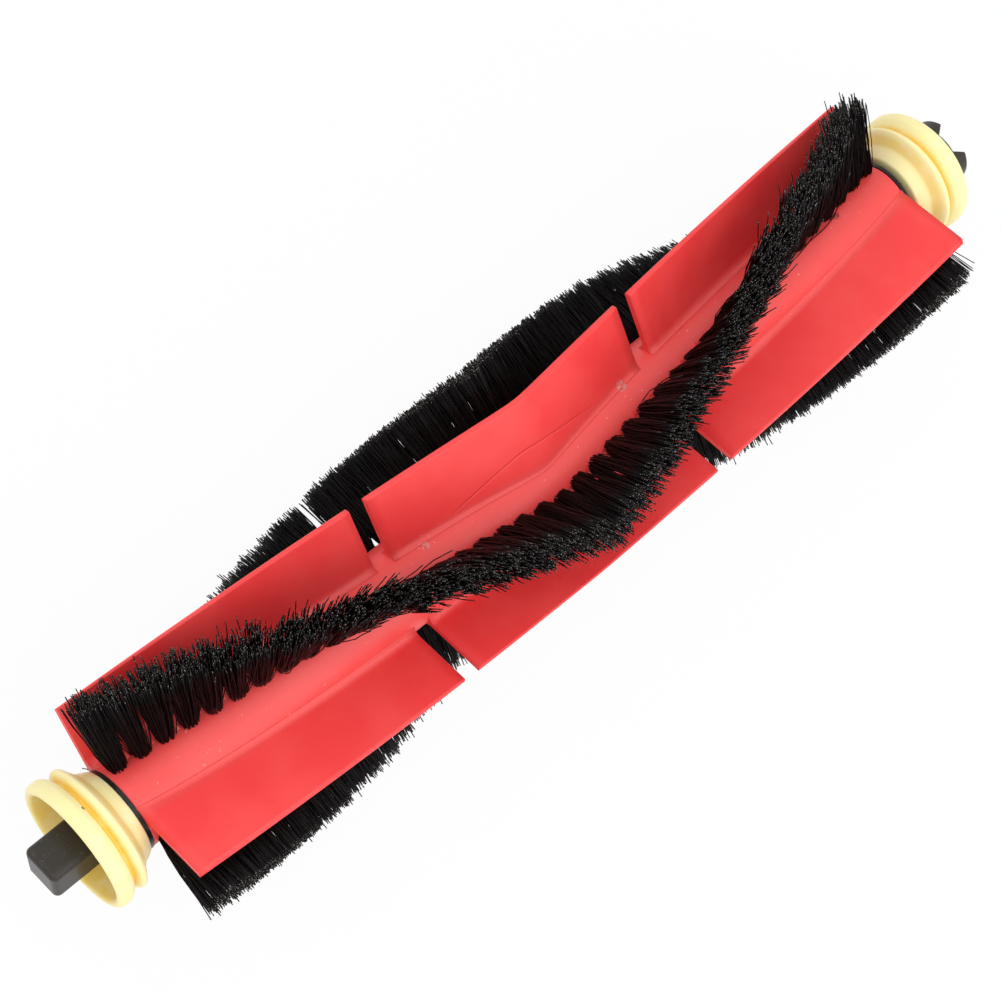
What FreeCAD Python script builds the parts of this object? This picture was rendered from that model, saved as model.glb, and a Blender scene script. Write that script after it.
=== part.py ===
import FreeCAD, Part
import math
import os
import Sketcher

os.makedirs("parts", exist_ok=True)
doc = FreeCAD.newDocument("roller_brush")
Vector = FreeCAD.Vector

# Sizes in millimetres and degrees. The brush axis is X, the square drive end is at -X.
SIZES = [
    ("sleeve_length", "164.5"),
    ("sleeve_radius", "6.95"),
    ("core_radius", "5.4"),
    ("fin_tip_radius", "18.1"),
    ("fin_wall", "1.1"),
    ("fin_offset", "5.25"),
    ("fin_apex_turn", "4"),
    ("fin_turn", "-8"),
    ("slot_one_start", "-31.3"),
    ("slot_one_width", "3"),
    ("slot_two_start", "24"),
    ("slot_two_width", "3.2"),
    ("trim_margin", "2"),
    ("tuft_pitch", "4"),
    ("tuft_end_margin", "1.9"),
    ("tuft_sweep", "47"),
    ("tuft_neck_radius", "1.25"),
    ("tuft_root_radius", "3.6"),
    ("bristle_radius", "20"),
    ("bristle_tip_reach", "2.9"),
    ("bristle_tip_half_length", "1.95"),
    ("flange_wall", "0.6"),
    ("flange_radius", "7.05"),
    ("journal_radius", "4"),
    ("journal_play", "0.05"),
    ("socket_radius", "2.5"),
    ("socket_depth", "3.6"),
    ("spigot_play", "0.02"),
    ("spigot_end_gap", "0.3"),
    ("drive_play", "0.1"),
    ("idle_play", "1"),
    ("disc_play", "0.1"),
    ("bush_bore_length", "3.9"),
    ("bush_face_radius", "7.3"),
    ("collar_length", "2.1"),
    ("collar_radius", "8.4"),
    ("cone_length", "1.4"),
    ("inner_flange_radius", "10.6"),
    ("inner_flange_length", "0.8"),
    ("groove_radius", "9"),
    ("groove_length", "1.4"),
    ("outer_flange_radius", "11"),
    ("outer_flange_length", "3"),
    ("outer_flange_edge", "0.7"),
    ("rim_wall", "1.5"),
    ("cup_floor_radius", "7.4"),
    ("disc_radius", "6.6"),
    ("disc_wall", "1.2"),
    ("square_side", "6.7"),
    ("square_length", "9.2"),
    ("square_edge", "1"),
    ("square_angle", "21.6"),
    ("boss_radius", "5.7"),
    ("boss_length", "7"),
    ("lobe_length", "2.9"),
    ("lobe_edge", "0.8"),
    ("notch_width", "3.6"),
    ("notch_slope", "0.6"),
    ("notch_angle", "3"),
    ("cup_mouth_radius", "=outer_flange_radius - rim_wall"),
    ("drive_bush_start", "=sleeve_length / 2 + flange_wall + drive_play"),
    ("idle_bush_start", "=sleeve_length / 2 + flange_wall + idle_play"),
    ("drive_core_end", "=drive_bush_start + bush_bore_length + disc_play"),
    ("idle_core_end", "=idle_bush_start + bush_bore_length + disc_play"),
    ("drive_reach", "=drive_core_end + disc_wall + square_length"),
    ("idle_reach", "=idle_core_end + disc_wall + boss_length + lobe_length"),
    ("x_shift", "=(drive_reach - idle_reach) / 2"),
    ("lean", "=60 - tuft_sweep"),
    ("axis_height", "=bristle_radius * cos(lean * 1 deg) + bristle_tip_reach * sin(lean * 1 deg)"),
]

sheet = doc.addObject("Spreadsheet::Sheet", "Dims")
for line, (alias, text) in enumerate(SIZES, start=1):
    sheet.set("A%d" % line, alias)
    sheet.set("B%d" % line, text)
    sheet.setAlias("B%d" % line, alias)
doc.recompute()

# Three rows of tufts and three fins follow one another round the sleeve.
ROW_ANGLES = (0.0, 120.0, -120.0)
FIN_COUNT = 3
HEX_RISE = math.sqrt(3.0)

# The ends of the sleeve and the outer faces of the core's flanges along the axis.
HALF = "Dims.sleeve_length / 2"
FLANGE_FACE = "Dims.sleeve_length / 2 + Dims.flange_wall"


def size(alias):
    """Value of one size from the sheet."""
    return float(sheet.get(alias))


def origin_feature(body, role):
    """A plane or axis of the body's own origin."""
    for feature in body.Origin.OriginFeatures:
        if feature.Role == role:
            return feature
    raise ValueError(role)


def new_sketch(body, role, name):
    """An empty sketch on one of the body's origin planes."""
    sketch = body.newObject("Sketcher::SketchObject", name)
    sketch.AttachmentSupport = [(origin_feature(body, role), "")]
    sketch.MapMode = "FlatFace"
    return sketch


def add_outline(sketch, corners):
    """A closed outline whose corners are pairs of size expressions."""
    first = sketch.GeometryCount
    count = len(corners)
    places = []
    for across, up in corners:
        places.append(Vector(float(sketch.evalExpression(across)), float(sketch.evalExpression(up)), 0))
    for step in range(count):
        edge = Part.LineSegment(places[step], places[(step + 1) % count])
        sketch.addGeometry(edge, False)
    for step in range(count):
        following = first + (step + 1) % count
        sketch.addConstraint(Sketcher.Constraint("Coincident", first + step, 2, following, 1))
    for step, (across, up) in enumerate(corners):
        for kind, text, axis, value in (
            ("DistanceX", across, -2, places[step].x),
            ("DistanceY", up, -1, places[step].y),
        ):
            if text == "0":
                sketch.addConstraint(Sketcher.Constraint("PointOnObject", first + step, 1, axis))
                continue
            index = sketch.addConstraint(Sketcher.Constraint(kind, -1, 1, first + step, 1, value))
            sketch.setExpression("Constraints[%d]" % index, text)


def revolve(body, name, corners, kind="PartDesign::Revolution"):
    """A full turn of an outline about the brush axis, added or cut away."""
    sketch = new_sketch(body, "XZ_Plane", name + "_profile")
    add_outline(sketch, corners)
    feature = body.newObject(kind, name)
    feature.Profile = sketch
    feature.ReferenceAxis = (sketch, ["H_Axis"])
    feature.Angle = 360
    sketch.Visibility = False
    doc.recompute()
    return feature


def new_body(label):
    """An empty body with its node name."""
    body = doc.addObject("PartDesign::Body", label + "_body")
    body.Label = label
    return body


def seat(item, turn=None):
    """Puts a finished piece in the row frame, with its lowest tufts on the ground."""
    item.Placement = FreeCAD.Placement(Vector(0, 0, 0), turn or FreeCAD.Rotation())
    item.setExpression("Placement.Base.x", "Dims.x_shift")
    item.setExpression("Placement.Base.z", "Dims.axis_height")


def end_turn(angle):
    """Turn of a piece of the drive end: built along +X, it faces -X with its shape at this angle."""
    about_z = FreeCAD.Rotation(Vector(0, 0, 1), 180)
    about_x = FreeCAD.Rotation(Vector(1, 0, 0), angle)
    return about_z.multiply(about_x)


def tuft_frames():
    """Middle, outward, sideways and lengthways direction of each tuft, row by row."""
    reach = size("sleeve_length") / 2 - size("tuft_end_margin")
    side_count = int(reach / size("tuft_pitch"))
    rows = []
    for row_angle in ROW_ANGLES:
        frames = []
        for step in range(-side_count, side_count + 1):
            x = step * size("tuft_pitch")
            sweep = size("tuft_sweep") * (2 * abs(step) / side_count - 1)
            angle = math.radians(row_angle + sweep)
            outward = Vector(0, math.sin(angle), math.cos(angle))
            sideways = Vector(0, math.cos(angle), -math.sin(angle))
            frames.append((Vector(x, 0, 0), outward, sideways, Vector(1, 0, 0)))
        rows.append(frames)
    return rows


def six_sided(frame, radius, reach, half_length):
    """Corners of a six-sided section across a tuft, its ends sixty degrees sharp."""
    middle, outward, sideways, lengthways = frame
    flat = reach - half_length / HEX_RISE
    corners = []
    for across, along in (
        (reach, 0),
        (flat, half_length),
        (-flat, half_length),
        (-reach, 0),
        (-flat, -half_length),
        (flat, -half_length),
    ):
        corners.append(middle + outward * radius + sideways * across + lengthways * along)
    return corners


def planar_solid(lower, upper):
    """A closed solid between two like sections."""
    count = len(lower)
    faces = [Part.Face(Part.makePolygon(lower + lower[:1])), Part.Face(Part.makePolygon(upper + upper[:1]))]
    for step in range(count):
        following = (step + 1) % count
        loop = [lower[step], lower[following], upper[following], upper[step], lower[step]]
        faces.append(Part.Face(Part.makePolygon(loop)))
    solid = Part.Solid(Part.makeShell(faces))
    if solid.Volume < 0:
        solid.reverse()
    return solid


def tuft(frame):
    """One tuft: pressed into the core, as wide as its hole at the sleeve, flaring to the cut tips."""
    surface = size("sleeve_radius")
    tip = size("bristle_radius")
    root = size("tuft_root_radius")
    neck_reach = size("tuft_neck_radius")
    neck_length = neck_reach * HEX_RISE / 2
    back = (surface - root) / (tip - surface)
    root_reach = neck_reach - back * (size("bristle_tip_reach") - neck_reach)
    root_length = neck_length - back * (size("bristle_tip_half_length") - neck_length)
    lower = six_sided(frame, root, root_reach, root_length)
    upper = six_sided(frame, tip, size("bristle_tip_reach"), size("bristle_tip_half_length"))
    return planar_solid(lower, upper)


def solid_group(name, label, solids):
    """One node that holds several separate solids."""
    item = doc.addObject("Part::Feature", name)
    item.Label = label
    item.Shape = Part.makeCompound(solids)
    return item


# Bristle rows
row_items = []
for number, frames in enumerate(tuft_frames(), start=1):
    label = "bristle_row_%d" % number
    row_items.append(solid_group(label, label, [tuft(frame) for frame in frames]))

# Core rod: shaft, end flanges, journals and end sockets in one turned profile


def core_side(end):
    """Half of the core's profile, from the sleeve's end to the floor of the end socket."""
    return [
        (HALF, "Dims.core_radius"),
        (HALF, "Dims.flange_radius"),
        (FLANGE_FACE, "Dims.flange_radius"),
        (FLANGE_FACE, "Dims.journal_radius"),
        (end, "Dims.journal_radius"),
        (end, "Dims.socket_radius"),
        (end + " - Dims.socket_depth", "Dims.socket_radius"),
        (end + " - Dims.socket_depth", "0"),
    ]


drive_side = [("-(%s)" % along, up) for along, up in reversed(core_side("Dims.drive_core_end"))]
core_rod = new_body("core_rod")
revolve(core_rod, "core_turn", core_side("Dims.idle_core_end") + drive_side)

# Rubber sleeve: tube, three V-shaped fins in segments, trimmed to the tip cylinder and bored for the core
sleeve_blank = new_body("sleeve_blank")
revolve(sleeve_blank, "sleeve_turn", [
    ("-Dims.sleeve_length / 2", "0"),
    (HALF, "0"),
    (HALF, "Dims.sleeve_radius"),
    ("-Dims.sleeve_length / 2", "Dims.sleeve_radius"),
])


def fin_corner(x, side, turn="0"):
    """Corner of the V-shaped wall on one side of its middle line."""
    line = "Dims.fin_offset * (4 * (abs(%s) + %s) / Dims.sleeve_length - 1)" % (x, turn)
    return (x, "%s %s Dims.fin_wall / 2" % (line, side))


def fin_segment(stations):
    """Outline of one length of the wall through its stations along the brush."""
    there = [fin_corner(x, "-", turn) for x, turn in stations]
    back = [fin_corner(x, "+", turn) for x, turn in reversed(stations)]
    return there + back


fin_sketch = new_sketch(sleeve_blank, "XY_Plane", "fin_profile")
add_outline(fin_sketch, fin_segment([("-Dims.sleeve_length / 2", "0"), ("Dims.slot_one_start", "0")]))
add_outline(fin_sketch, fin_segment([
    ("Dims.slot_one_start + Dims.slot_one_width", "0"),
    ("-Dims.fin_apex_turn", "0"),
    ("0", "Dims.fin_apex_turn / 2"),
    ("Dims.fin_apex_turn", "0"),
    ("Dims.slot_two_start", "0"),
]))
add_outline(fin_sketch, fin_segment([
    ("Dims.slot_two_start + Dims.slot_two_width", "0"),
    (HALF, "0"),
]))
fin_pad = sleeve_blank.newObject("PartDesign::Pad", "fin_wall_pad")
fin_pad.Profile = fin_sketch
fin_pad.setExpression("Length", "Dims.fin_tip_radius + Dims.trim_margin")
doc.recompute()
fin_ring = sleeve_blank.newObject("PartDesign::PolarPattern", "fin_ring")
fin_ring.Originals = [fin_pad]
fin_ring.Axis = (origin_feature(sleeve_blank, "X_Axis"), [""])
fin_ring.Angle = 360
fin_ring.Occurrences = FIN_COUNT
sleeve_blank.Tip = fin_ring
doc.recompute()
PAST_END = HALF + " + Dims.trim_margin"
revolve(sleeve_blank, "sleeve_bore", [
    ("-(%s)" % PAST_END, "0"),
    (PAST_END, "0"),
    (PAST_END, "Dims.core_radius"),
    ("-(%s)" % PAST_END, "Dims.core_radius"),
], "PartDesign::Groove")
fin_rotation = FreeCAD.Rotation(Vector(1, 0, 0), 180 - size("fin_turn"))
sleeve_blank.Placement = FreeCAD.Placement(Vector(0, 0, 0), fin_rotation)
tip_cylinder = doc.addObject("Part::Cylinder", "TipCylinder")
tip_cylinder.setExpression("Radius", "Dims.fin_tip_radius")
tip_cylinder.setExpression("Height", "Dims.sleeve_length + 2 * Dims.trim_margin")
tip_cylinder.Placement = FreeCAD.Placement(Vector(0, 0, 0), FreeCAD.Rotation(Vector(0, 1, 0), 90))
tip_cylinder.setExpression("Placement.Base.x", "-(%s)" % PAST_END)
rubber_sleeve = doc.addObject("Part::Common", "rubber_sleeve")
rubber_sleeve.Label = "rubber_sleeve"
rubber_sleeve.Base = sleeve_blank
rubber_sleeve.Tool = tip_cylinder
doc.recompute()


def end_bush(label, start):
    """End bush: collar, cone, inner flange, groove, outer flange with a round land, cup and plain bore."""
    collar_end = start + " + Dims.collar_length"
    cone_end = collar_end + " + Dims.cone_length"
    inner_end = cone_end + " + Dims.inner_flange_length"
    groove_end = inner_end + " + Dims.groove_length"
    rim = groove_end + " + Dims.outer_flange_length"
    cup_floor = start + " + Dims.bush_bore_length"
    bore = "Dims.journal_radius + Dims.journal_play"
    body = new_body(label)
    revolve(body, label + "_turn", [
        (start, bore),
        (start, "Dims.bush_face_radius"),
        (collar_end, "Dims.collar_radius"),
        (cone_end, "Dims.inner_flange_radius"),
        (inner_end, "Dims.inner_flange_radius"),
        (inner_end + " + Dims.groove_length / 2", "Dims.groove_radius"),
        (groove_end, "Dims.outer_flange_radius"),
        (rim + " - Dims.outer_flange_edge", "Dims.outer_flange_radius"),
        (rim, "Dims.outer_flange_radius - Dims.outer_flange_edge"),
        (rim, "Dims.cup_mouth_radius"),
        (cup_floor, "Dims.cup_floor_radius"),
        (cup_floor, bore),
    ])
    return body


drive_bush = end_bush("drive_bush", "Dims.drive_bush_start")
idle_bush = end_bush("idle_bush", "Dims.idle_bush_start")

# End plugs: spigot in the core's socket, retaining disc over the bush, and the end that meets the machine


def plug_stem(core_end):
    """Profile of a plug's spigot and disc, up to the disc's outer corner."""
    spigot_end = core_end + " - Dims.socket_depth + Dims.spigot_end_gap"
    spigot_radius = "Dims.socket_radius - Dims.spigot_play"
    return [
        (spigot_end, "0"),
        (spigot_end, spigot_radius),
        (core_end, spigot_radius),
        (core_end, "Dims.disc_radius"),
        (core_end + " + Dims.disc_wall", "Dims.disc_radius"),
    ]


DRIVE_DISC_FACE = "Dims.drive_core_end + Dims.disc_wall"
IDLE_DISC_FACE = "Dims.idle_core_end + Dims.disc_wall"

drive_plug = new_body("drive_plug")
revolve(drive_plug, "drive_stem", plug_stem("Dims.drive_core_end") + [(DRIVE_DISC_FACE, "0")])
square_sketch = new_sketch(drive_plug, "YZ_Plane", "square_profile")
square_sketch.setExpression("AttachmentOffset.Base.z", DRIVE_DISC_FACE)
add_outline(square_sketch, [
    ("-Dims.square_side / 2", "-Dims.square_side / 2"),
    ("Dims.square_side / 2", "-Dims.square_side / 2"),
    ("Dims.square_side / 2", "Dims.square_side / 2"),
    ("-Dims.square_side / 2", "Dims.square_side / 2"),
])
doc.recompute()
square_pad = drive_plug.newObject("PartDesign::Pad", "square_pad")
square_pad.Profile = square_sketch
square_pad.setExpression("Length", "Dims.square_length")
doc.recompute()
round_edges = []
for number, edge in enumerate(square_pad.Shape.Edges, start=1):
    straight = edge.Curve.TypeId == "Part::GeomLine"
    if straight and edge.BoundBox.XMax > size("drive_reach") - size("spigot_play"):
        round_edges.append("Edge%d" % number)
square_round = drive_plug.newObject("PartDesign::Fillet", "square_round")
square_round.Base = (square_pad, round_edges)
square_round.setExpression("Radius", "Dims.square_edge")
drive_plug.Tip = square_round

idle_plug = new_body("idle_plug")
BOSS_FACE = IDLE_DISC_FACE + " + Dims.boss_length"
LOBE_FACE = BOSS_FACE + " + Dims.lobe_length"
revolve(idle_plug, "idle_stem", plug_stem("Dims.idle_core_end") + [
    (IDLE_DISC_FACE, "Dims.boss_radius"),
    (LOBE_FACE + " - Dims.lobe_edge", "Dims.boss_radius"),
    (LOBE_FACE, "Dims.boss_radius - Dims.lobe_edge"),
    (LOBE_FACE, "0"),
])
NOTCH_FLARE = "Dims.notch_width / 2 + Dims.notch_slope * (Dims.lobe_length + Dims.trim_margin)"
notch_sketch = new_sketch(idle_plug, "XY_Plane", "notch_profile")
add_outline(notch_sketch, [
    (BOSS_FACE, "-Dims.notch_width / 2"),
    (LOBE_FACE + " + Dims.trim_margin", "-(%s)" % NOTCH_FLARE),
    (LOBE_FACE + " + Dims.trim_margin", NOTCH_FLARE),
    (BOSS_FACE, "Dims.notch_width / 2"),
])
doc.recompute()
notch = idle_plug.newObject("PartDesign::Pocket", "notch")
notch.Profile = notch_sketch
notch.Type = "ThroughAll"
notch.Midplane = True
doc.recompute()

# Every finished piece goes to its place in the row frame
seat(core_rod)
seat(rubber_sleeve)
for item in row_items:
    seat(item)
seat(drive_bush, end_turn(0))
seat(idle_bush)
seat(drive_plug, end_turn(size("square_angle")))
seat(idle_plug, FreeCAD.Rotation(Vector(1, 0, 0), -size("notch_angle")))
doc.recompute()

finished = [core_rod, rubber_sleeve] + row_items + [drive_bush, idle_bush, drive_plug, idle_plug]
for item in doc.Objects:
    if "Invalid" in item.State or "Error" in item.State:
        raise RuntimeError("%s has a fault: %s" % (item.Label, item.State))
for item in finished:
    if item.Shape.isNull() or not item.Shape.isValid():
        raise RuntimeError("%s has no valid shape" % item.Label)
for item in finished:
    item.Shape.exportStep("parts/%s.step" % item.Label)
    box = item.Shape.BoundBox
    print(item.Label, len(item.Shape.Solids), "solids", round(item.Shape.Volume, 1), "mm3",
          [round(box.XMin, 2), round(box.YMin, 2), round(box.ZMin, 2)],
          [round(box.XMax, 2), round(box.YMax, 2), round(box.ZMax, 2)])
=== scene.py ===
# %% [markdown]
# # A robot vacuum roller brush
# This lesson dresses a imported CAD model: a red rubber roller with three V-shaped fins, three rows of black
# bristles between them and a yellow bush at each end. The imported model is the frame. It stays where it is,
# and every piece that is added here is placed in the same metres.

import math

import bpy
import numpy as np
from mathutils import Matrix, Vector


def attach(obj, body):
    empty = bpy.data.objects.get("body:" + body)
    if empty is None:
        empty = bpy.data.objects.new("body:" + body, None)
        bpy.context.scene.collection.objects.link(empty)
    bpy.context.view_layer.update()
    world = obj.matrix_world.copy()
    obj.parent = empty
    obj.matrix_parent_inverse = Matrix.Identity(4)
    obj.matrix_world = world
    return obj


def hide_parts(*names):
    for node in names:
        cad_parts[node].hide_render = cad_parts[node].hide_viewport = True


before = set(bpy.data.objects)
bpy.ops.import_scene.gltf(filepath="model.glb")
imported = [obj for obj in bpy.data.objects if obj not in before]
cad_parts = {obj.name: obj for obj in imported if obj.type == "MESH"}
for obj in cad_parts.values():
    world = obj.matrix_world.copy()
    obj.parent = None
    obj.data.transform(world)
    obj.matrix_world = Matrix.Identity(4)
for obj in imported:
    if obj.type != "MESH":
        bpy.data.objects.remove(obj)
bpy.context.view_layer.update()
MM = 0.001
print("nodes:", sorted(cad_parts))

# %% [markdown]
# The colours should render as they are written, so the view transform is Standard. The brush was
# photographed from above with a long lens. A camera needs a place, three directions and a focal length.
# They were worked out once by fitting known edges of the roller, so here they are simply set.

# %% Camera
scene = bpy.context.scene
scene.view_settings.view_transform = "Standard"

AXIS_HEIGHT = 20.14 * MM
AXIS_SHIFT = -0.8 * MM
camera_data = bpy.data.cameras.new("camera")
camera_data.sensor_width = 36.0
camera_data.sensor_fit = "HORIZONTAL"
camera_data.lens = 95.53
camera_data.clip_start = 0.01
camera = bpy.data.objects.new("camera", camera_data)
right = Vector((0.71679, -0.62946, 0.30001)).normalized()
forward = Vector((0.39200, 0.00794, -0.91993)).normalized()
up = right.cross(forward).normalized()
right = forward.cross(up)
place = Vector((-167.41 * MM + AXIS_SHIFT, -2.78 * MM, 378.70 * MM + AXIS_HEIGHT))
turn = Matrix((right, up, -forward)).transposed()
camera.matrix_world = Matrix.Translation(place) @ turn.to_4x4()
scene.collection.objects.link(camera)
scene.camera = camera
print("camera looks along", [round(value, 3) for value in forward])

# %% [markdown]
# A material is a small graph of nodes. Written out by hand it hides the idea, so one small class wraps a
# socket: plus, minus and times between sockets and numbers add Math nodes, and one method adds any other
# node. Settings are set before the sockets, because a node's sockets can depend on them.

# %% A socket that can be calculated with
class Shade:
    """One output socket of a material's node."""

    def __init__(self, tree, socket):
        self.tree = tree
        self.socket = socket

    def node(self, kind, settings=None, inputs=None, output=0):
        """Adds a node of any type to the same tree and gives one of its outputs."""
        made = self.tree.nodes.new(kind)
        for name, value in (settings or {}).items():
            setattr(made, name, value)
        for name, value in (inputs or {}).items():
            if isinstance(value, Shade):
                self.tree.links.new(value.socket, made.inputs[name])
            else:
                made.inputs[name].default_value = value
        return Shade(self.tree, made.outputs[output])

    def math(self, operation, first, second=0.0, clamp=False):
        settings = {"operation": operation, "use_clamp": clamp}
        return self.node("ShaderNodeMath", settings, {0: first, 1: second})

    def __add__(self, other):
        return self.math("ADD", self, other)

    def __radd__(self, other):
        return self.math("ADD", other, self)

    def __sub__(self, other):
        return self.math("SUBTRACT", self, other)

    def __rsub__(self, other):
        return self.math("SUBTRACT", other, self)

    def __mul__(self, other):
        return self.math("MULTIPLY", self, other)

    def __rmul__(self, other):
        return self.math("MULTIPLY", other, self)

    def clamp(self):
        return self.math("ADD", self, 0.0, clamp=True)

    def ramp(self, low, high):
        """0 at low, 1 at high, smooth between. The order may be turned round."""
        settings = {"interpolation_type": "SMOOTHSTEP"}
        sockets = {"Value": self, "From Min": low, "From Max": high, "To Min": 0.0, "To Max": 1.0}
        if low > high:
            sockets.update({"From Min": high, "From Max": low, "To Min": 1.0, "To Max": 0.0})
        return self.node("ShaderNodeMapRange", settings, sockets)

    def mix(self, first, second):
        """Colour between two colours, with this value as the factor."""
        settings = {"data_type": "RGBA"}
        return self.node("ShaderNodeMix", settings, {0: self, 6: first, 7: second}, 2)


print("socket class ready")

# %% [markdown]
# Colours are picked as they look on a screen, but nodes work in linear light, so one function converts them.
# A finish is a new material together with the place on the object. Every calculation starts from that place,
# counted in millimetres from the middle of the brush axis.

# %% Colours and finishes
def color(red, green, blue):
    """A display colour of 0 to 255 per channel, as the linear colour that nodes use."""
    linear = []
    for channel in (red, green, blue):
        value = channel / 255
        linear.append(value / 12.92 if value <= 0.04045 else ((value + 0.055) / 1.055) ** 2.4)
    return (*linear, 1.0)


class Finish:
    """A new material: its shader, and the place on the object as the start of every calculation."""

    def __init__(self, name):
        self.material = bpy.data.materials.new(name)
        self.material.use_nodes = True
        self.tree = self.material.node_tree
        self.shader = self.tree.nodes["Principled BSDF"]
        start = Shade(self.tree, None)
        self.place = start.node("ShaderNodeTexCoord", output="Object")
        axes = {axis: self.place.node("ShaderNodeSeparateXYZ", None, {0: self.place}, axis) for axis in "XYZ"}
        self.x = (axes["X"] - AXIS_SHIFT) * (1 / MM)
        self.y = axes["Y"] * (1 / MM)
        self.z = (axes["Z"] - AXIS_HEIGHT) * (1 / MM)
        squares = self.y * self.y + self.z * self.z
        self.radius = squares.math("POWER", squares, 0.5)

    def noise(self, per_mm, detail=2.0, roughness=0.5):
        sockets = {"Vector": self.place, "Scale": per_mm / MM, "Detail": detail, "Roughness": roughness}
        return self.place.node("ShaderNodeTexNoise", None, sockets, "Fac")

    def spot(self, where, size):
        """1 at one place, in millimetres from the middle of the axis, and 0 beyond its size."""
        squares = 0.0
        for axis, middle in zip((self.x, self.y, self.z), where):
            away = axis - middle
            squares = away * away + squares
        return squares.ramp(size * size, size * size * 0.4)

    def set(self, **sockets):
        """Values, colours or links for the shader's sockets, with words joined by underscores."""
        for name, value in sockets.items():
            socket = self.shader.inputs[name.replace("_", " ")]
            if isinstance(value, Shade):
                self.tree.links.new(value.socket, socket)
            else:
                socket.default_value = value

    def bump(self, height, distance, strength=1.0):
        sockets = {"Height": height, "Distance": distance, "Strength": strength}
        self.set(Normal=self.place.node("ShaderNodeBump", None, sockets, "Normal"))


print("colours and finishes ready")

# %% [markdown]
# The photograph was taken on pure white. A white floor under soft lamps would still come out grey, and more
# light would bleach the part. The floor and the world ask what kind of ray is looking: rays from the camera,
# and rays by way of gloss, mostly see plain white, and all other rays see an ordinary floor and a soft grey
# sky. A little of the real floor stays in the mix, so the brush keeps its faint shadow.

# %% Floor
FLOOR_SIZE = 6.0
FLOOR_DROP = 0.0002
FLOOR_WHITE_SHARE = 0.95
WHITE = (1, 1, 1, 1)


def seen_directly(shade):
    """1 for rays that come from the camera or by way of a glossy or clear surface."""
    kinds = ("Is Camera Ray", "Is Glossy Ray", "Is Transmission Ray")
    rays = [shade.node("ShaderNodeLightPath", output=kind) for kind in kinds]
    return (rays[0] + rays[1] + rays[2]).clamp()


bpy.ops.mesh.primitive_plane_add(size=FLOOR_SIZE, location=(0, 0, -FLOOR_DROP))
floor = bpy.context.object
floor.name = "floor"
floor_finish = Finish("pale_floor")
floor_finish.set(Base_Color=color(235, 235, 235), Roughness=0.9)
white = floor_finish.place.node("ShaderNodeEmission", None, {"Color": WHITE, "Strength": 1.0})
share = seen_directly(floor_finish.place) * FLOOR_WHITE_SHARE
ground = Shade(floor_finish.tree, floor_finish.shader.outputs[0])
floor_mix = ground.node("ShaderNodeMixShader", None, {0: share, 1: ground, 2: white})
floor_output = floor_finish.tree.nodes["Material Output"]
floor_finish.tree.links.new(floor_mix.socket, floor_output.inputs["Surface"])
floor.data.materials.append(floor_finish.material)
print("floor:", len(floor_finish.tree.nodes), "nodes")

# %% [markdown]
# The world asks the same question. What lights the brush is a soft grey sky, near enough to white that the
# colours come out about as they are written.

# %% World
SKY_TONE = (0.80, 0.80, 0.81, 1)
world = bpy.data.worlds.new("studio")
scene.world = world
world.use_nodes = True
sky = Shade(world.node_tree, None)
tone = seen_directly(sky).mix(SKY_TONE, WHITE)
world.node_tree.links.new(tone.socket, world.node_tree.nodes["Background"].inputs["Color"])
print("world:", len(world.node_tree.nodes), "nodes")

# %% [markdown]
# Sky alone looks flat. Two broad area lamps add a soft direction to the light: the key stands above, and the
# weaker fill reaches under the fins from the front. Broad lamps give shadows without hard edges.

# %% Lamps
def soft_lamp(name, where, size, watts):
    """A square lamp that faces the middle of the brush."""
    data = bpy.data.lights.new(name, "AREA")
    data.size = size
    data.energy = watts
    lamp = bpy.data.objects.new(name, data)
    lamp.location = where
    lamp.rotation_euler = (Vector((0, 0, AXIS_HEIGHT)) - Vector(where)).to_track_quat("-Z", "Y").to_euler()
    scene.collection.objects.link(lamp)
    return lamp


soft_lamp("key_lamp", where=(-0.20, 0.06, 0.60), size=0.90, watts=1.7)
soft_lamp("fill_lamp", where=(0.05, -0.42, 0.42), size=0.60, watts=1.3)
print("lamps:", [light.name for light in bpy.data.lights])

# %% [markdown]
# The roller's skin is a soft moulded rubber: bright red, satin, with faint clouds in the colour and a fine
# dull grain. A few pale specks of rubber dust lie along the root of the fins. Noise textures give all three,
# and a ramp on the radius finds the roots. The same ramp paints the tube between the fins a paler pinkish
# red:
# a painted sheen.

# %% Red rubber
rubber = Finish("red_rubber")
clouds = rubber.noise(0.10, 3.0)
grain = rubber.noise(6.0, 2.0)
near_root = rubber.radius.ramp(8.4, 7.2)
specks = rubber.noise(1.9, 1.0).ramp(0.745, 0.78) * near_root
red = clouds.ramp(0.35, 0.65).mix(color(245, 57, 58), color(249, 69, 68))
# painted sheen: the tube near the fin roots is mixed halfway toward a paler pinkish red
red = (near_root * 0.5).mix(red, color(226, 84, 80))
red = (specks * 0.6).mix(red, color(252, 165, 155))
print("plain rubber:", len(rubber.tree.nodes), "nodes")
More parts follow.
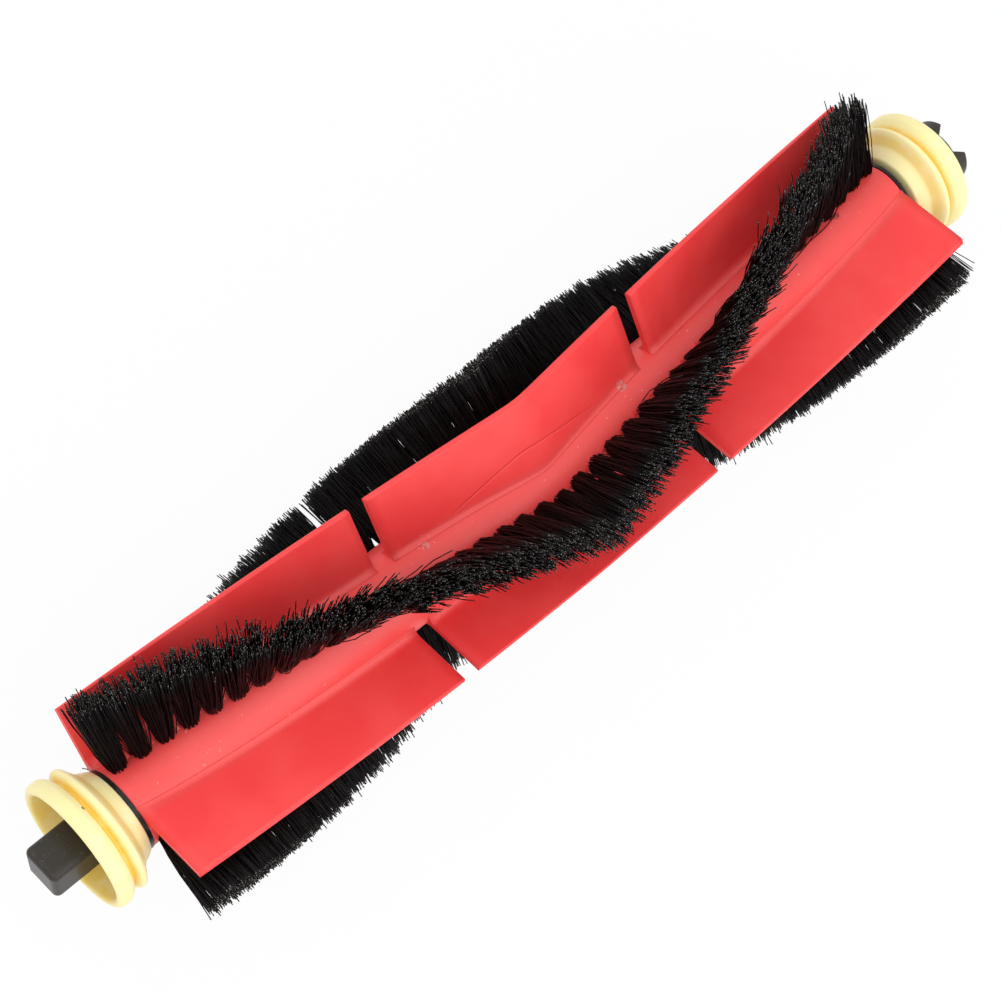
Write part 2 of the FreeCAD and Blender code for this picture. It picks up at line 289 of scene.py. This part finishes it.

# %% [markdown]
# This brush also has its own marks: a crease across the middle of one fin, two small lumps of moulding flash
# beside its slots, a dark scuff near the idle end, and a tiny nick in the edge of the fin near the drive end.
# The crease is a dent with painted shade along it, and the nick is only a dark spot of painted shade.
# Each is a distance turned into a mask: to a bent line for the crease, to a point for the others.

# %% Marks on the rubber
CREASE_SHIFT = 1.7
CREASE_ROUND = 6.0
CREASE_SLOPE = 0.22
CREASE_TOP = 11.3
DRIVE_FLASH = (-23.0, 2.2, 6.6)
IDLE_FLASH = (19.4, 2.5, 6.6)
SCUFF_PLACE = (69.4, 2.6, 6.5)
NICK_PLACE = (-74.8, 16.1, 7.85)
from_peak = rubber.x + CREASE_SHIFT
bend = from_peak.math("POWER", from_peak * from_peak + CREASE_ROUND, 0.5)
off_crease = rubber.radius + bend * CREASE_SLOPE - CREASE_TOP
off_crease = off_crease.math("ABSOLUTE", off_crease)
on_fin = bend.ramp(16.0, 13.0) * rubber.y.ramp(1.2, 1.8) * rubber.z.ramp(4.0, 6.0)
crease = off_crease.ramp(0.26, 0.02) * on_fin
flash = (rubber.spot(IDLE_FLASH, 1.1) + rubber.spot(DRIVE_FLASH, 0.8)).clamp()
flash = flash * rubber.noise(1.6, 3.0, 0.7).ramp(0.40, 0.56)
scuff = rubber.spot(SCUFF_PLACE, 1.0) * rubber.noise(1.5, 3.0, 0.7).ramp(0.42, 0.55)
# painted shade: the crease is darkened along its line, besides its dent in the bump below
red = (crease * 0.22).mix(red, color(196, 40, 44))
red = (flash * 0.65).mix(red, color(214, 150, 144))
nick = rubber.spot(NICK_PLACE, 0.5)
# the scuff is a real dark mark; the nick is painted shade, a dark spot for a notch the mesh leaves out
red = ((scuff + nick).clamp() * 0.8).mix(red, color(92, 30, 36))
rubber.set(Base_Color=red, Roughness=0.44 + 0.14 * grain - 0.08 * near_root)
rubber.bump(0.4 * grain + 0.3 * clouds + 4.0 * flash - 2.5 * crease, 0.00004, 0.6)
print("red rubber:", len(rubber.tree.nodes), "nodes")

# %% [markdown]
# The end bushes are a smooth cream plastic that lets a little light through. The groove and the cup beyond
# the crest of the bush, and the cone before it, are painted a deeper golden yellow as painted shade in these
# hollows. All lie closer to the axis than the rims, so ramps on the radius and along the axis find them.

# %% Cream plastic
SPECK_PLACE = (-88.6, 3.48, 9.75)


def cream_plastic(name, side, crest):
    """Cream plastic for the bush on one side of the brush, with painted golden shade below its rims."""
    finish = Finish(name)
    beyond = (finish.x * side).ramp(crest - 0.3, crest + 0.4)
    # painted shade: the groove, the cup and the cone below the crest are mixed toward a deeper golden yellow
    golden_shade = finish.radius.ramp(10.3, 9.2) * beyond
    cloud = finish.noise(0.35, 2.0)
    inside = finish.radius.ramp(10.3, 9.5) * finish.radius.ramp(7.9, 8.9) * (1.0 - beyond)
    golden_shade = (golden_shade + 0.6 * inside).clamp()
    yellow = golden_shade.mix(color(253, 239, 175), color(248, 210, 94))
    yellow = (cloud.ramp(0.45, 0.7) * 0.25).mix(yellow, color(255, 248, 208))
    speck = finish.spot(SPECK_PLACE, 0.4)
    yellow = (speck * 0.9).mix(yellow, color(70, 44, 18))
    finish.set(Base_Color=yellow, Roughness=0.34 + 0.1 * cloud, Specular_IOR_Level=0.3)
    finish.set(Subsurface_Weight=0.12, Subsurface_Scale=0.003, Subsurface_Radius=(1.0, 0.7, 0.25))
    finish.bump(finish.noise(3.0, 2.0), 0.00003, 0.4)
    print(name, len(finish.tree.nodes), "nodes")
    return finish


drive_cream = cream_plastic("drive_cream_plastic", side=-1, crest=87.1)
idle_cream = cream_plastic("idle_cream_plastic", side=1, crest=88.0)

# %% [markdown]
# The core and the end plugs are dark moulded plastic with a soft sheen and small scuffs, and a fine parting
# line runs along the middle of the square drive end. One function serves both, with their own colours.

# %% Dark plastic
SQUARE_ANGLE = math.radians(21.6)


def dark_plastic(name, base, worn):
    """Moulded dark plastic with pale scuffs and a parting line."""
    finish = Finish(name)
    scuff = finish.noise(0.9, 4.0, 0.7).ramp(0.58, 0.68) * finish.noise(4.0, 2.0).ramp(0.45, 0.6)
    off_line = finish.y * math.cos(SQUARE_ANGLE) - finish.z * math.sin(SQUARE_ANGLE)
    line = off_line.math("ABSOLUTE", off_line).ramp(0.12, 0.03) * finish.radius.ramp(3.0, 3.3)
    finish.set(Base_Color=(scuff * 0.6).mix(base, worn), Roughness=0.32 + 0.25 * scuff)
    finish.set(Specular_IOR_Level=0.3)
    finish.bump(finish.noise(5.0, 2.0) - 4.0 * line, 0.00003, 0.5)
    return finish


core_black = dark_plastic("black_core_plastic", color(20, 20, 21), color(70, 68, 66))
plug_charcoal = dark_plastic("charcoal_plug_plastic", color(50, 46, 41), color(116, 106, 96))
print("core and plug plastic:", len(core_black.tree.nodes), "nodes each")

# %% [markdown]
# The bristles are black nylon. Their black has a slight reddish tint, painted bounce light from the red
# rubber.
# A fine noise picks the cut tips that glint, and a ramp on the radius keeps the glints at the cut. The glints
# are painted highlights, a pale grey in the base colour.

# %% Black nylon
nylon = Finish("black_nylon")
strand = nylon.noise(1.4, 2.0)
# painted highlights: pale grey glints on the cut tips, mixed into the base colour
glint = nylon.noise(6.5, 1.0).ramp(0.62, 0.68) * nylon.radius.ramp(19.4, 20.0)
# painted bounce light: the black is tinted reddish, and the noise varies it from strand to strand
black = strand.mix(color(8, 5, 5), color(17, 11, 10))
nylon.set(Base_Color=(glint * 0.8).mix(black, color(196, 190, 184)), Roughness=0.42 + 0.2 * strand)
nylon.set(Specular_IOR_Level=0.18)
print("nylon:", len(nylon.tree.nodes), "nodes")

# %% [markdown]
# The CAD nodes whose shape is right only need a material.

# %% Dress the CAD nodes
NODE_FINISH = {
    "core_rod": core_black,
    "drive_plug": plug_charcoal,
    "idle_plug": plug_charcoal,
}
for name, finish in NODE_FINISH.items():
    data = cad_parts[name].data
    data.materials.clear()
    data.materials.append(finish.material)
print("dressed", len(NODE_FINISH), "nodes")

# %% [markdown]
# The other pieces get new meshes in place of their CAD nodes. They are all worked out with numpy in
# millimetres from the middle of the brush axis, and one function turns such points into a piece that rides
# on its body.

# %% Make a piece
def add_piece(name, points, faces, finish, body, node, flat=0):
    """A mesh in place of a CAD node. The last faces, as many as flat says, are not smoothed."""
    mesh = bpy.data.meshes.new(name)
    shifted = (np.asarray(points) + (AXIS_SHIFT / MM, 0, AXIS_HEIGHT / MM)) * MM
    mesh.from_pydata(shifted.tolist(), [], faces)
    smooth = [True] * (len(faces) - flat) + [False] * flat
    mesh.polygons.foreach_set("use_smooth", smooth)
    mesh.materials.append(finish.material)
    mesh.update()
    piece = bpy.data.objects.new(name, mesh)
    scene.collection.objects.link(piece)
    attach(piece, body)
    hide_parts(node)
    print(name, len(faces), "faces")
    return piece


print("ready to add pieces")

# %% [markdown]
# Turned pieces are a closed profile swept round the axis. Real moulded edges are never sharp, so every
# corner of the profile is first replaced by a small curve.

# %% Turned shapes
def rounded(corners, cut, steps=4):
    """The closed profile with each corner replaced by a small curve."""
    corners = np.array(corners, float)
    curve = []
    for before, corner, after in zip(np.roll(corners, 1, 0), corners, np.roll(corners, -1, 0)):
        ends = []
        for other in (before, after):
            length = np.linalg.norm(other - corner)
            ends.append(corner + (other - corner) * min(cut / length, 0.48))
        for t in np.linspace(0, 1, steps + 1):
            curve.append(ends[0] * (1 - t) ** 2 + corner * 2 * t * (1 - t) + ends[1] * t ** 2)
    return np.array(curve)


def swept(sections, closed):
    """Points and four-sided faces between rings of equally many points."""
    count, around = sections.shape[:2]
    faces = []
    for ring in range(count if closed else count - 1):
        following = (ring + 1) % count
        for step in range(around):
            nearby = (step + 1) % around
            faces.append((ring * around + step, ring * around + nearby,
                          following * around + nearby, following * around + step))
    return sections.reshape(-1, 3), faces


def lathe(profile, segments=96):
    """A closed profile of places along the axis and radii, swept round the axis."""
    angles = np.linspace(0, 2 * math.pi, segments, endpoint=False)
    along = np.repeat(profile[None, :, 0], segments, 0)
    sections = np.stack([along, np.outer(np.sin(angles), profile[:, 1]),
                         np.outer(np.cos(angles), profile[:, 1])], axis=2)
    return swept(sections, True)


print("turned shapes ready")

# %% [markdown]
# The bushes: a collar, a cone with a crest, a narrow groove, a broad outer flange and an open cup. Both have
# the same profile, counted from the face at the roller, and the idle one is its mirror image.

# %% End bushes
SLEEVE_HALF = 82.25
DRIVE_START = SLEEVE_HALF + 0.7
IDLE_START = SLEEVE_HALF + 1.6
BUSH_EDGE = 0.35
BUSH_PROFILE = [
    (0, 4.05), (0, 7.3), (2.1, 8.4), (3.45, 10.5), (3.9, 10.6), (4.35, 10.4), (4.85, 9.1), (5.2, 9.1),
    (5.7, 10.4), (6.5, 11.0), (8.0, 11.0), (8.65, 10.5), (8.7, 9.9), (8.4, 9.4), (3.9, 7.4), (3.9, 4.05),
]
BUSHES = (("drive_bush", DRIVE_START, -1, drive_cream), ("idle_bush", IDLE_START, 1, idle_cream))
for name, start, side, finish in BUSHES:
    profile = rounded(BUSH_PROFILE, BUSH_EDGE)
    profile[:, 0] = side * (profile[:, 0] + start)
    points, faces = lathe(profile[::side])
    add_piece(name + "_turned", points, faces, finish, name, name)

# %% [markdown]
# The sleeve: a tube with three fins. A fin runs along a V line and stands straight up from the tube in the
# direction in which the mould opens, so its cross-section changes along the brush. Each cross-section has a
# fillet at either foot, which ends in a fine step on the tube, and a thin rounded tip on the trimmed radius.

# %% Fins
TUBE_RADIUS = 6.95
TUBE_BORE = 5.4
TIP_CUT = 18.1
FIN_OFFSET = 5.25
APEX_ROUND = 4.0
FIN_HALF_WALL = 0.55
FOOT = 1.3
FOOT_STEP = 0.08
FOOT_SINK = 0.5
TIP_ROUND = 0.25
TIP_BEVEL = 0.07
FIN_TURNS = (188.0, 308.0, 68.0)
FIN_PARTS = ((-SLEEVE_HALF, -31.3), (-28.3, 24.0), (27.2, SLEEVE_HALF))
FIN_RINGS = 28


def v_line(x):
    """Sideways place of a fin's middle line, with a rounded apex."""
    return FIN_OFFSET * (4 * (math.sqrt(x * x + APEX_ROUND)) / (2 * SLEEVE_HALF) - 1)


def fin_side(edge, side):
    """Half a cross-section, from inside the tube up one face of the fin to the middle of its tip."""
    across = edge + side * FOOT
    away = TUBE_RADIUS + FOOT_STEP + FOOT
    height = math.sqrt(away ** 2 - across ** 2)
    toe = math.atan2(-height, -across)
    wall = math.pi if side > 0 else 0.0
    sweep = (wall - toe + math.pi) % (2 * math.pi) - math.pi
    foot = np.array([across, height])
    inner = foot * (TUBE_RADIUS - FOOT_SINK) / away
    arc = [foot + FOOT * np.array([math.cos(toe + sweep * t), math.sin(toe + sweep * t)])
           for t in np.linspace(0, 1, 7)]
    top = math.sqrt(TIP_CUT ** 2 - edge ** 2)
    straight = [(edge, height + 0.2), (edge, (height + top) / 2), (edge, top - 0.35), (edge, top - TIP_ROUND)]
    tip = [(edge - side * TIP_BEVEL, top - TIP_BEVEL), (edge - side * TIP_ROUND, top)]
    return [tuple(inner)] + [tuple(point) for point in arc] + straight + tip


def fin_part(start, stop, turn):
    """One length of a fin as rings of points, turned to its place round the tube."""
    near_apex = np.clip(np.linspace(-5, 5, 11), start, stop)
    places = np.unique(np.concatenate([np.linspace(start, stop, FIN_RINGS), near_apex]))
    rings = []
    for x in places:
        middle = v_line(x)
        ring = fin_side(middle + FIN_HALF_WALL, 1) + fin_side(middle - FIN_HALF_WALL, -1)[::-1]
        rings.append([(x, across, height) for across, height in ring])
    rings = np.array(rings)
    angle = math.radians(turn)
    across = rings[:, :, 1] * math.cos(angle) - rings[:, :, 2] * math.sin(angle)
    height = rings[:, :, 1] * math.sin(angle) + rings[:, :, 2] * math.cos(angle)
    return np.stack([rings[:, :, 0], across, height], axis=2)


fins = [fin_part(start, stop, turn) for turn in FIN_TURNS for start, stop in FIN_PARTS]
print("fin lengths:", len(fins))

# %% [markdown]
# The tufts stand in three V-shaped rows. Between two tufts the rubber is torn up into a small point, which
# catches the light in the photograph. Each is a slim pyramid with its own seeded size and lean.

# %% Torn points between the tufts
TUFT_PITCH = 4.0
TUFTS_PER_SIDE = 20
TUFT_SWEEP = 47.0
ROW_ANGLES = {"bristle_row_1": 0.0, "bristle_row_2": 120.0, "bristle_row_3": -120.0}
SPIKE_SINK = 0.1
SPIKE_SHIFT = 0.5
SPIKE_FRONT = 0.5
SPIKE_BACK = 0.4
SPIKE_HALF_BASE = (0.28, 0, 0)
spike_rng = np.random.default_rng(7)


def root_spike(x, row_angle, rng):
    """A thin point of torn rubber between two tufts, as a three-sided pyramid."""
    sweep = TUFT_SWEEP * (2 * abs(x) / (TUFTS_PER_SIDE * TUFT_PITCH) - 1)
    angle = math.radians(row_angle + sweep + rng.uniform(-4, 4))
    outward = np.array([0, math.sin(angle), math.cos(angle)])
    sideways = np.array([0, math.cos(angle), -math.sin(angle)])
    middle = np.array([x, 0, 0]) + outward * (TUBE_RADIUS - SPIKE_SINK) + sideways * SPIKE_SHIFT
    point = middle + outward * rng.uniform(0.5, 1.2) + sideways * rng.uniform(0.3, 0.9)
    back = sideways * SPIKE_BACK
    feet = [middle + sideways * SPIKE_FRONT, middle + SPIKE_HALF_BASE - back, middle - SPIKE_HALF_BASE - back]
    return np.array(feet + [point])


spikes = []
for row_angle in ROW_ANGLES.values():
    for gap in range(-TUFTS_PER_SIDE, TUFTS_PER_SIDE):
        spikes.append(root_spike((gap + 0.5) * TUFT_PITCH, row_angle, spike_rng))
print("torn points:", len(spikes))

# %% [markdown]
# Tube, fins and torn points become one mesh, because the real sleeve is one moulding. The fins' ends and the
# points have flat faces, so these come last and are not smoothed.

# %% Rubber sleeve
TUBE = [
    (-SLEEVE_HALF, TUBE_BORE), (-SLEEVE_HALF, TUBE_RADIUS),
    (SLEEVE_HALF, TUBE_RADIUS), (SLEEVE_HALF, TUBE_BORE),
]
TUBE_EDGE = 0.3
SPIKE_FACES = ((0, 1, 3), (1, 2, 3), (2, 0, 3), (2, 1, 0))
tube_points, sleeve_faces = lathe(rounded(TUBE, TUBE_EDGE))
sleeve_points = [tube_points]
caps = []
for rings in fins:
    base = sum(len(points) for points in sleeve_points)
    points, faces = swept(rings, False)
    around = rings.shape[1]
    last = base + len(points) - around
    sleeve_faces += [tuple(base + index for index in face) for face in faces]
    caps.append(tuple(range(base, base + around))[::-1])
    caps.append(tuple(range(last, last + around)))
    sleeve_points.append(points)
for spike in spikes:
    base = sum(len(points) for points in sleeve_points)
    sleeve_points.append(spike)
    caps += [tuple(base + index for index in face) for face in SPIKE_FACES]
add_piece("finned_sleeve", np.concatenate(sleeve_points), sleeve_faces + caps, rubber,
          "brush", "rubber_sleeve", len(caps))

# %% [markdown]
# A bristle row is a line of tufts. In CAD each tuft is one plain solid. Here it becomes a bundle of filaments
# that start close together inside the sleeve and spread out to the cut tips, a few of them wildly. First the
# roots and tips are drawn at random. The seed is fixed, so every run gives the same brush.

# %% Tufts
ROOT_RADIUS = 6.3
ROOT_HALF_WIDTH = 1.3
ROOT_HALF_LENGTH = 1.25
TIP_RADIUS = 20.2
TIP_HALF_WIDTH = 2.8
TIP_HALF_LENGTH = 2.4
FILAMENTS = 168
WILD_SHARE = 0.07
FLARE_SCATTER = 0.10
REACH_SCATTER = 0.25
ACROSS_SCATTER = 0.22
ALONG_SCATTER = 0.25
rng = np.random.default_rng(23)


def tuft_axes(row_angle, step):
    """Middle on the axis, outward and sideways directions of one tuft, in millimetres."""
    sweep = TUFT_SWEEP * (2 * abs(step) / TUFTS_PER_SIDE - 1)
    angle = math.radians(row_angle + sweep)
    outward = np.array([0, math.sin(angle), math.cos(angle)])
    sideways = np.array([0, math.cos(angle), -math.sin(angle)])
    return np.array([step * TUFT_PITCH, 0, 0]), outward, sideways


def tuft_filaments(row_angle, step, lean):
    """Root and tip of every filament of one tuft."""
    middle, outward, sideways = tuft_axes(row_angle, step)
    lengthways = np.array([1.0, 0, 0])
    along = rng.uniform(-1, 1, FILAMENTS)
    across = rng.uniform(-1, 1, FILAMENTS) * np.sqrt(1 - 0.7 * along ** 2)
    flare = 1 + FLARE_SCATTER * rng.standard_normal(FILAMENTS)
    wild = rng.random(FILAMENTS) < WILD_SHARE
    flare = np.where(wild, flare * (1.2 + 0.6 * rng.random(FILAMENTS)), flare)
    root = middle + outward * ROOT_RADIUS + np.outer(across * ROOT_HALF_WIDTH, sideways)
    root = root + np.outer(along * ROOT_HALF_LENGTH, lengthways)
    reach = TIP_RADIUS + REACH_SCATTER * rng.standard_normal(FILAMENTS)
    tip_across = across * TIP_HALF_WIDTH * flare + lean[0] + ACROSS_SCATTER * rng.standard_normal(FILAMENTS)
    tip_along = along * TIP_HALF_LENGTH * flare + lean[1] + ALONG_SCATTER * rng.standard_normal(FILAMENTS)
    tip = middle + np.outer(reach, outward) + np.outer(tip_across, sideways)
    tip = tip + np.outer(tip_along, lengthways)
    return root, tip, np.repeat(outward[None], FILAMENTS, 0)


print("filaments in a row:", FILAMENTS * (2 * TUFTS_PER_SIDE + 1))

# %% [markdown]
# Blender's hair would not export as a mesh, so each filament is a slim three-sided tube with a slight bow
# and crimp, and all the tubes of a row are made at once with numpy. The lowest tips bend where they meet the
# floor.

# %% Filaments as tubes
RINGS = 4
FILAMENT_RADIUS = 0.10
BOW_SCATTER = 0.22
CRIMP_LEAST = 0.04
CRIMP_RANGE = 0.06
SPREAD_POWER = 0.7


def filament_tubes(roots, tips, outward, thickness):
    """Points and faces of a slim crimped tube for each pair of root and tip."""
    count = len(roots)
    path = tips - roots
    rise = outward * np.sum(path * outward, axis=1)[:, None]
    spread = path - rise
    along = path / np.linalg.norm(path, axis=1)[:, None]
    first = np.cross(along, np.array([0.3, 0.8, 0.52]))
    first /= np.linalg.norm(first, axis=1)[:, None]
    second = np.cross(along, first)
    turn = rng.random(count) * 2 * math.pi
    bow = first * np.cos(turn)[:, None] + second * np.sin(turn)[:, None]
    crimp = first * np.sin(turn)[:, None] - second * np.cos(turn)[:, None]
    bow_size = BOW_SCATTER * rng.standard_normal(count)
    crimp_size = CRIMP_LEAST + CRIMP_RANGE * rng.random(count)
    rings = []
    for ring in range(RINGS + 1):
        part = ring / RINGS
        point = roots + rise * part + spread * part ** SPREAD_POWER
        point = point + bow * (bow_size * 4 * part * (1 - part))[:, None]
        if 0 < ring < RINGS:
            point = point + crimp * (crimp_size * (-1) ** ring)[:, None]
        for corner in range(3):
            angle = corner * 2 * math.pi / 3
            rings.append(point + (first * math.cos(angle) + second * math.sin(angle)) * thickness)
    points = np.stack(rings, axis=1)
    points[:, :, 2] = np.maximum(points[:, :, 2], -AXIS_HEIGHT / MM)
    per = (RINGS + 1) * 3
    pattern = []
    for ring in range(RINGS):
        for corner in range(3):
            following = (corner + 1) % 3
            low = ring * 3
            pattern.append((low + corner, low + following, low + 3 + following, low + 3 + corner))
    starts = np.arange(count) * per
    sides = (starts[:, None, None] + np.array(pattern)[None]).reshape(-1, 4)
    ends = np.array([(2, 1, 0), (per - 3, per - 2, per - 1)])
    caps = (starts[:, None, None] + ends[None]).reshape(-1, 3)
    return points.reshape(-1, 3), sides.tolist(), caps.tolist()


print("faces in a filament:", RINGS * 3 + 2)

# %% [markdown]
# Now the rows are planted. Each tuft leans a little its own way and the end tufts lean outward. One row has a
# parting, as used brushes get, and one loose filament lies along the sleeve near the idle end.

# %% Bristle rows
LEAN_SCATTER = (0.30, 0.20)
END_LEAN = 0.4
PARTING_LEAN = 1.3
LOOSE_FILAMENT = (
    np.array([[60.1, 1.6, 7.0]]),
    np.array([[69.6, 2.6, 7.0]]),
    np.array([[0, 0.35, 0.94]]),
)


def row_lean(row_name, step):
    """How far a tuft's tips lean sideways and lengthways."""
    lean = rng.standard_normal(2) * LEAN_SCATTER
    lean[1] += END_LEAN * (step == TUFTS_PER_SIDE) - END_LEAN * (step == -TUFTS_PER_SIDE)
    if row_name == "bristle_row_2":
        lean[1] += PARTING_LEAN * (step == -7) - PARTING_LEAN * (step == -8)
    return lean


for row_name, row_angle in ROW_ANGLES.items():
    steps = range(-TUFTS_PER_SIDE, TUFTS_PER_SIDE + 1)
    tufts = [tuft_filaments(row_angle, step, row_lean(row_name, step)) for step in steps]
    if row_name == "bristle_row_1":
        tufts.append(LOOSE_FILAMENT)
    roots, tips, outward = [np.concatenate(parts) for parts in zip(*tufts)]
    points, sides, caps = filament_tubes(roots, tips, outward, FILAMENT_RADIUS)
    add_piece(row_name + "_filaments", points, sides + caps, nylon,
              "brush", row_name, len(caps))
